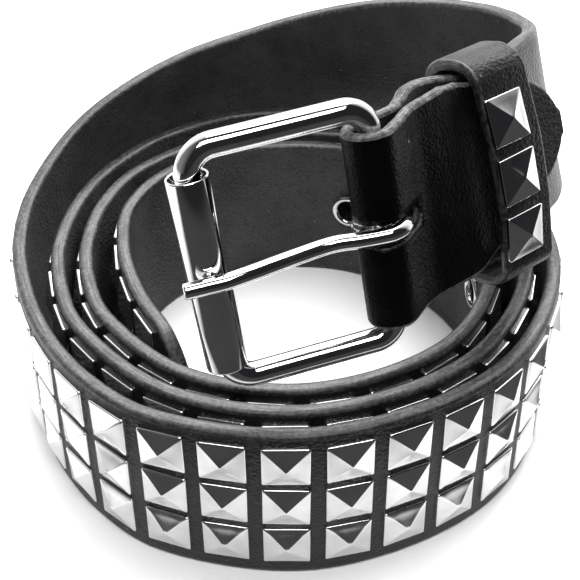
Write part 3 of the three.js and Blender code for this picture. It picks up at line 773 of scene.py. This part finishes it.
frame_corners = []
for quarter, (far, side) in enumerate(((0, -1), (1, -1), (1, 1), (0, 1))):
    corner_radius = front_corner_radius if far else rear_corner_radius
    centre_along = frame_length - corner_radius if far else corner_radius
    centre_up = side * (frame_height / 2 - corner_radius)
    corner = []
    for i in range(frame_corner_steps + 1):
        angle = math.pi + math.pi / 2 * (quarter + i / frame_corner_steps)
        corner.append(frame_ring(centre_along, centre_up, corner_radius, math.cos(angle), math.sin(angle)))
    frame_corners.append(corner)
frame_rings = []
for corner, onward in zip(frame_corners, frame_corners[1:] + frame_corners[:1]):
    frame_rings += corner
    for step in range(1, frame_bar_steps):
        share = step / frame_bar_steps
        frame_rings.append(corner[-1] * (1 - share) + onward[0] * share)
buckle_wire = skin("buckle_wire", frame_rings, closed=True)
chrome = plated(
    "buckle_chrome", colour=(0.86, 0.86, 0.87), smooth=0.045, cloudy=0.09, scratch=0.012, wave=0.5)
buckle_wire.data.materials.append(chrome)
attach(buckle_wire, "frame")
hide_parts("buckle_frame")

# The roller. A sleeve rolled from thin sheet, with its rims turned in and its seam left open as a fine
# line. It turns on the frame's front bar.
roller_outside = 7.6
roller_wall = 0.5
roller_end_gap = 3.9
roller_drop = 0.5
roller_sides = 64
seam_angle = -2.2
seam_width = 0.09
seam_depth = 0.22
roller_half = frame_height / 2 - roller_end_gap
roller_radius = roller_outside / 2
roller_angles = sorted(set(
    [2 * math.pi * i / roller_sides - math.pi for i in range(roller_sides)]
    + [seam_angle + seam_width * k for k in (-1.6, -0.9, -0.5, 0.5, 0.9, 1.6)]))

# One rim, from the bore over the turned-in edge to the outside: how deep in the wall, and how far in
# from the end.
roller_rim = [(roller_wall, 0.25), (roller_wall - 0.12, 0.03), (0.22, 0.0), (0.06, 0.08), (0.0, 0.3)]
lower_rim = [(roller_radius - depth, inset - roller_half) for depth, inset in roller_rim]
roller_profile = (
    lower_rim + [(roller_radius, roller_half * share) for share in (-0.5, 0.0, 0.5)]
    + [(radius, -height) for radius, height in reversed(lower_rim)] + [(roller_radius - roller_wall, 0.0)])
roller_rings = []
for angle in roller_angles:
    outward = frame_front * math.cos(angle) + frame_along * math.sin(angle)
    ring = []
    for radius, height in roller_profile:
        outside = radius > roller_radius - 0.1
        in_seam = outside and abs(angle - seam_angle) < seam_width * 0.6
        depth = seam_depth if in_seam else 0.0
        ring.append(place_on_frame(frame_length, 0, height - roller_drop) + outward * (radius - depth))
    roller_rings.append(np.array(ring))
roller_sleeve = skin("roller_sleeve", roller_rings, closed=True)
roller_chrome = plated(
    "roller_chrome", colour=(0.86, 0.86, 0.87), smooth=0.05, cloudy=0.1, scratch=0.015, wave=0.8)
roller_sleeve.data.materials.append(roller_chrome)
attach(roller_sleeve, "roller")
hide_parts("roller")

# The prong. Steel wire, 3 mm thick, bent to an open eye round the rear bar, dipped in the middle and
# cut off square just past the roller. It passes through the slot in the fold.
prong_overhang = 1.4
running_clearance = 0.3
prong_ride = roller_outside / 2 + running_clearance + prong_wire / 2
prong_tip = frame_length + roller_outside / 2 + prong_overhang
prong_shank = [
    dict(along=0.16, front=0.62), dict(along=0.3, front=0.42), dict(along=0.55, front=0.62),
    dict(along=0.82, front=0.93), dict(along=0.94, front=1.02), dict(along=1.05, front=1),
    dict(along=prong_tip / frame_length, front=0.97),
]
eye_from = -25.0
eye_to = -282.0
eye_steps = 12
prong_steps = 8
prong_sides = 24
prong_burr = 0.25
eye_radius = wire / 2 + bar_clearance + prong_wire / 2
prong_points = []
for i in range(eye_steps + 1):
    angle = math.radians(eye_from + (eye_to - eye_from) * i / eye_steps)
    prong_points.append(place_on_frame(eye_radius * math.cos(angle), eye_radius * math.sin(angle), 0))
for row in prong_shank:
    prong_points.append(place_on_frame(row["along"] * frame_length, row["front"] * prong_ride, 0))
prong_line, _ = smooth_line(prong_points, prong_steps)


# A round wire along a line. Its ends are cut square, with the burr taken off.
def wire_along(name, line, thickness, side_axis, sides, burr):
    rings = []
    last = len(line) - 1
    for i, centre in enumerate(line):
        along = unit(line[min(i + 1, last)] - line[max(i - 1, 0)])
        side = unit(np.cross(side_axis, along))
        upward = np.cross(along, side)
        steps = [(0.0, 0.0)]
        if i == 0:
            steps = [(0.0, burr), (burr, 0.0)]
        elif i == last:
            steps = [(-burr, 0.0), (0.0, burr)]
        for shift, shrink in steps:
            radius = thickness / 2 - shrink
            rings.append(np.array([
                centre + along * shift + side * radius * math.cos(a) + upward * radius * math.sin(a)
                for a in np.linspace(0, 2 * math.pi, sides, endpoint=False)]))
    return skin(name, rings)


prong_piece = wire_along("prong_wire", prong_line, prong_wire, bar_axis, prong_sides, prong_burr)
prong_piece.data.materials.append(chrome)
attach(prong_piece, "prong")
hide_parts("prong")

# The keeper. A 13 mm band of the same leather, closed behind the strap, that holds the flap down.
# Its front is bowed by the layers and the three studs in it, and its edges are stained like the strap's.
keeper_width = 13.0
keeper_thickness = 2.2
keeper_edge_slack = 1.2
keeper_bow = 2.2
keeper_back_room = 2.1
keeper_front_room = 1.8
keeper_heading = 39.0
keeper_lean = 20.0
keeper_stud_pitch = 11.25
keeper_stud_drop = 0.8
keeper_stud_shift = 1.6
keeper_front_share = 0.94
keeper_edge_round = 0.7
keeper_corner_steps = 3
keeper_steps = 6
outer_side = 7
inner_side = 15
stud_seat_margin = 0.35

# The keeper's turn over the strap's edge: depth is a share of keeper_depth, and over a share of
# keeper_edge_slack past the edge.
keeper_top = [
    dict(depth=0.36, over=0.33), dict(depth=0.1, over=0.5), dict(depth=-0.22, over=0.25),
    dict(depth=-0.4, over=-1.2),
]
keeper_place = strap_at(keeper_distance)[0][0]
keeper_along = heading(keeper_heading)
keeper_up = standing(heading(keeper_heading - 90), keeper_lean)
keeper_out = np.cross(keeper_along, keeper_up)
keeper_front = strap_thickness / 2 + fold_thickness + keeper_front_room
keeper_depth = keeper_front + strap_thickness / 2 + keeper_back_room
keeper_half = strap_width / 2 + keeper_edge_slack
seat_half = stud_size / 2 + stud_seat_margin
stud_heights = [(row - 1) * keeper_stud_pitch - keeper_stud_drop for row in range(rows_of_studs)]


def keeper_bowed(height):
    return keeper_front + keeper_bow * (1 - (height / keeper_half) ** 2)


keeper_line = [np.array([keeper_bowed(h), h]) for h in (
    -keeper_half * keeper_front_share, *[m + s for m in stud_heights for s in (-seat_half, seat_half)],
    keeper_half * keeper_front_share)]
keeper_over = [np.array([row["depth"] * keeper_depth, keeper_half + row["over"] * keeper_edge_slack])
               for row in keeper_top]
keeper_line += keeper_over + [point * (1, -1) for point in reversed(keeper_over)]
smooth_keeper, _ = smooth_line(keeper_line, keeper_steps, closed=True)
keeper_rings = []
for i, point in enumerate(smooth_keeper):
    onward = unit(smooth_keeper[(i + 1) % len(smooth_keeper)] - smooth_keeper[i - 1])
    outward = np.array([onward[1], -onward[0]])
    ring = []
    half, flat, radius = keeper_width / 2, keeper_thickness, keeper_edge_round
    for corner_along, corner_depth, start in (
            (half - radius, radius, -90), (half - radius, flat - radius, 0),
            (-half + radius, flat - radius, 90), (-half + radius, radius, 180)):
        for k in range(keeper_corner_steps + 1):
            angle = math.radians(start + 90 / keeper_corner_steps * k)
            depth = corner_depth + radius * math.sin(angle)
            spot = point + outward * depth
            ring.append(
                keeper_place + keeper_out * spot[0] + keeper_up * spot[1]
                + keeper_along * (corner_along + radius * math.cos(angle)))
    keeper_rings.append(np.array(ring))


# The keeper's face is slot 0, its back 1 and its edges 2.
def keeper_slot(i, j):
    return 0 if j == outer_side else 1 if j == inner_side else 2


keeper_round = np.linspace(0, 2 * (keeper_width + keeper_thickness) * mm, len(keeper_rings[0]) + 1)
keeper_marks = np.arange(len(keeper_rings) + 1) * mm
keeper_band = skin(
    "keeper_band", keeper_rings, closed=True, face_slots=keeper_slot,
    uv=lambda i, j: (keeper_marks[i], keeper_round[j]))
keeper_leather = leather(
    "keeper_face", dark=(0.004, 0.004, 0.005), light=(0.03, 0.03, 0.032), rough=(0.36, 0.5),
    grain_scale=1500.0, grain_depth=0.5, bump=0.9, dust=0.5, shine=0.32)
for finish in (keeper_leather, back_leather, stained_edge):
    keeper_band.data.materials.append(finish)
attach(keeper_band, "belt")
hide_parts("keeper")

# The keeper's studs. They are the same pressed and plated pyramids as the strap's, one above the other
# on the keeper's bowed front, a little off the band's middle.
keeper_seats = []
for middle in stud_heights:
    low, high = (np.array([keeper_bowed(h), h]) for h in (middle - seat_half, middle + seat_half))
    up_flat = unit(high - low)
    out_flat = np.array([up_flat[1], -up_flat[0]])
    spot = (low + high) / 2 + out_flat * keeper_thickness
    out = keeper_out * out_flat[0] + keeper_up * out_flat[1]
    up = keeper_out * up_flat[0] + keeper_up * up_flat[1]
    place = keeper_place + keeper_out * spot[0] + keeper_up * spot[1] - keeper_along * keeper_stud_shift
    keeper_seats.append((place, keeper_along, up, out))
keeper_studs = set_studs("keeper_studs", keeper_seats)
keeper_studs.data.materials.append(stud_plate)
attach(keeper_studs, "belt")
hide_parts("keeper_stud_1", "keeper_stud_2", "keeper_stud_3")

# The studio. The camera looks down at the belt from in front. The floor is pale, and three soft lights
# stand above it. The room is white behind the belt, faint at its left and dark on the camera's side.
focal_pixels = 1213.3
image_width = 580
sensor_width = 36.0
pitch = 37.85
roll = -0.45
lens_place = np.array([0.0, -218.0, 194.8]) + belt_shift
camera = bpy.data.objects.new("camera", bpy.data.cameras.new("camera"))
camera.data.lens = focal_pixels / image_width * sensor_width
camera.data.sensor_width = sensor_width
camera.data.clip_start = 0.01
camera.location = lens_place * mm
camera.rotation_euler = (math.radians(90 - pitch), 0, 0)
bpy.context.scene.collection.objects.link(camera)
bpy.context.view_layer.update()
camera.rotation_mode = "QUATERNION"
camera.rotation_quaternion = camera.matrix_world.to_quaternion() @ Quaternion((0, 0, 1), math.radians(roll))
bpy.context.scene.camera = camera

floor_half = 4.0
floor_seen = (1.5, 1.5, 1.5)
floor_pale = (1.1, 1.1, 1.1)
floor_dark_share = 0.03
pale_within = 0.084
dark_beyond = 0.112
leftward = -0.9
floor_mesh = bpy.data.meshes.new("floor")
floor_mesh.from_pydata(
    [(-floor_half, -floor_half, 0), (floor_half, -floor_half, 0), (floor_half, floor_half, 0),
     (-floor_half, floor_half, 0)], [], [(0, 1, 2, 3)])
floor = bpy.data.objects.new("floor", floor_mesh)
bpy.context.scene.collection.objects.link(floor)
pale, tree, shader = start_material("pale_floor", Roughness=0.6, Specular_IOR_Level=0.2)
place = add_node(tree, "ShaderNodeTexCoord")
axes = add_node(tree, "ShaderNodeSeparateXYZ", {0: place.outputs["Object"]})
# The metal mirrors a floor that is pale round the belt, behind it and at its left, and dark elsewhere.
spread = add_node(tree, "ShaderNodeVectorMath", {0: place.outputs["Object"]}, operation="LENGTH")
under = ramp_value(tree, spread.outputs["Value"], pale_within, dark_beyond, 1.0, floor_dark_share)
beyond = ramp_value(tree, axes.outputs["Y"], -0.01, 0.07, 0.0, 1.0)
slanted = add_node(tree, "ShaderNodeMath", {
    0: axes.outputs["X"], 1: leftward, 2: axes.outputs["Y"]}, operation="MULTIPLY_ADD")
aside = ramp_value(tree, slanted.outputs[0], 0.0, 0.06, 0.0, 1.0)
around_belt = add_node(tree, "ShaderNodeMath", {0: under, 1: beyond}, operation="MAXIMUM")
pale_part = add_node(tree, "ShaderNodeMath", {0: around_belt.outputs[0], 1: aside}, operation="MAXIMUM")
rays = add_node(tree, "ShaderNodeLightPath")
mirrored = blend_colours(tree, pale_part.outputs[0], (0.0, 0.0, 0.0), floor_pale)
seen = blend_colours(tree, rays.outputs["Is Camera Ray"], mirrored, floor_seen)
tree.links.new(seen, shader.inputs["Base Color"])
floor_mesh.materials.append(pale)


def soft_box(name, place, target, size, power):
    lamp = bpy.data.lights.new(name, "AREA")
    lamp.shape, lamp.size, lamp.size_y, lamp.energy = "RECTANGLE", size[0], size[1], power
    box = bpy.data.objects.new(name, lamp)
    bpy.context.scene.collection.objects.link(box)
    box.location = place
    box.rotation_mode = "QUATERNION"
    box.rotation_quaternion = (Vector(target) - Vector(place)).to_track_quat("-Z", "Y")


soft_box("back_light", place=(0.15, 0.75, 0.75), target=(0, 0, 0.03), size=(1.0, 0.7), power=9.0)
soft_box("top_light", place=(0.1, 0.25, 0.9), target=(0, 0, 0.03), size=(0.5, 0.5), power=4.0)
soft_box("front_light", place=(0, -0.5, 0.95), target=(0, 0, 0), size=(0.7, 0.4), power=5.0)

room_dark = (0.02, 0.02, 0.022)
room_white = (1.15, 1.15, 1.15)
room_seen = (0.97, 0.97, 0.97)
left_share = 0.18

world = bpy.data.worlds.new("room")
bpy.context.scene.world = world
world.use_nodes = True
tree = world.node_tree
backdrop = tree.nodes["Background"]
place = add_node(tree, "ShaderNodeTexCoord")
axes = add_node(tree, "ShaderNodeSeparateXYZ", {0: place.outputs["Generated"]})
behind = ramp_value(tree, axes.outputs["Y"], -0.02, 0.4, 0.0, 1.0)
left = ramp_value(tree, axes.outputs["X"], -0.9, -0.35, left_share, 0.0)
bright = add_node(tree, "ShaderNodeMath", {0: behind, 1: left}, operation="MAXIMUM")
shown = blend_colours(tree, bright.outputs[0], room_dark, room_white)
rays = add_node(tree, "ShaderNodeLightPath")
shown = blend_colours(tree, rays.outputs["Is Camera Ray"], shown, room_seen)
tree.links.new(shown, backdrop.inputs["Color"])
bpy.context.scene.view_settings.view_transform = "Standard"
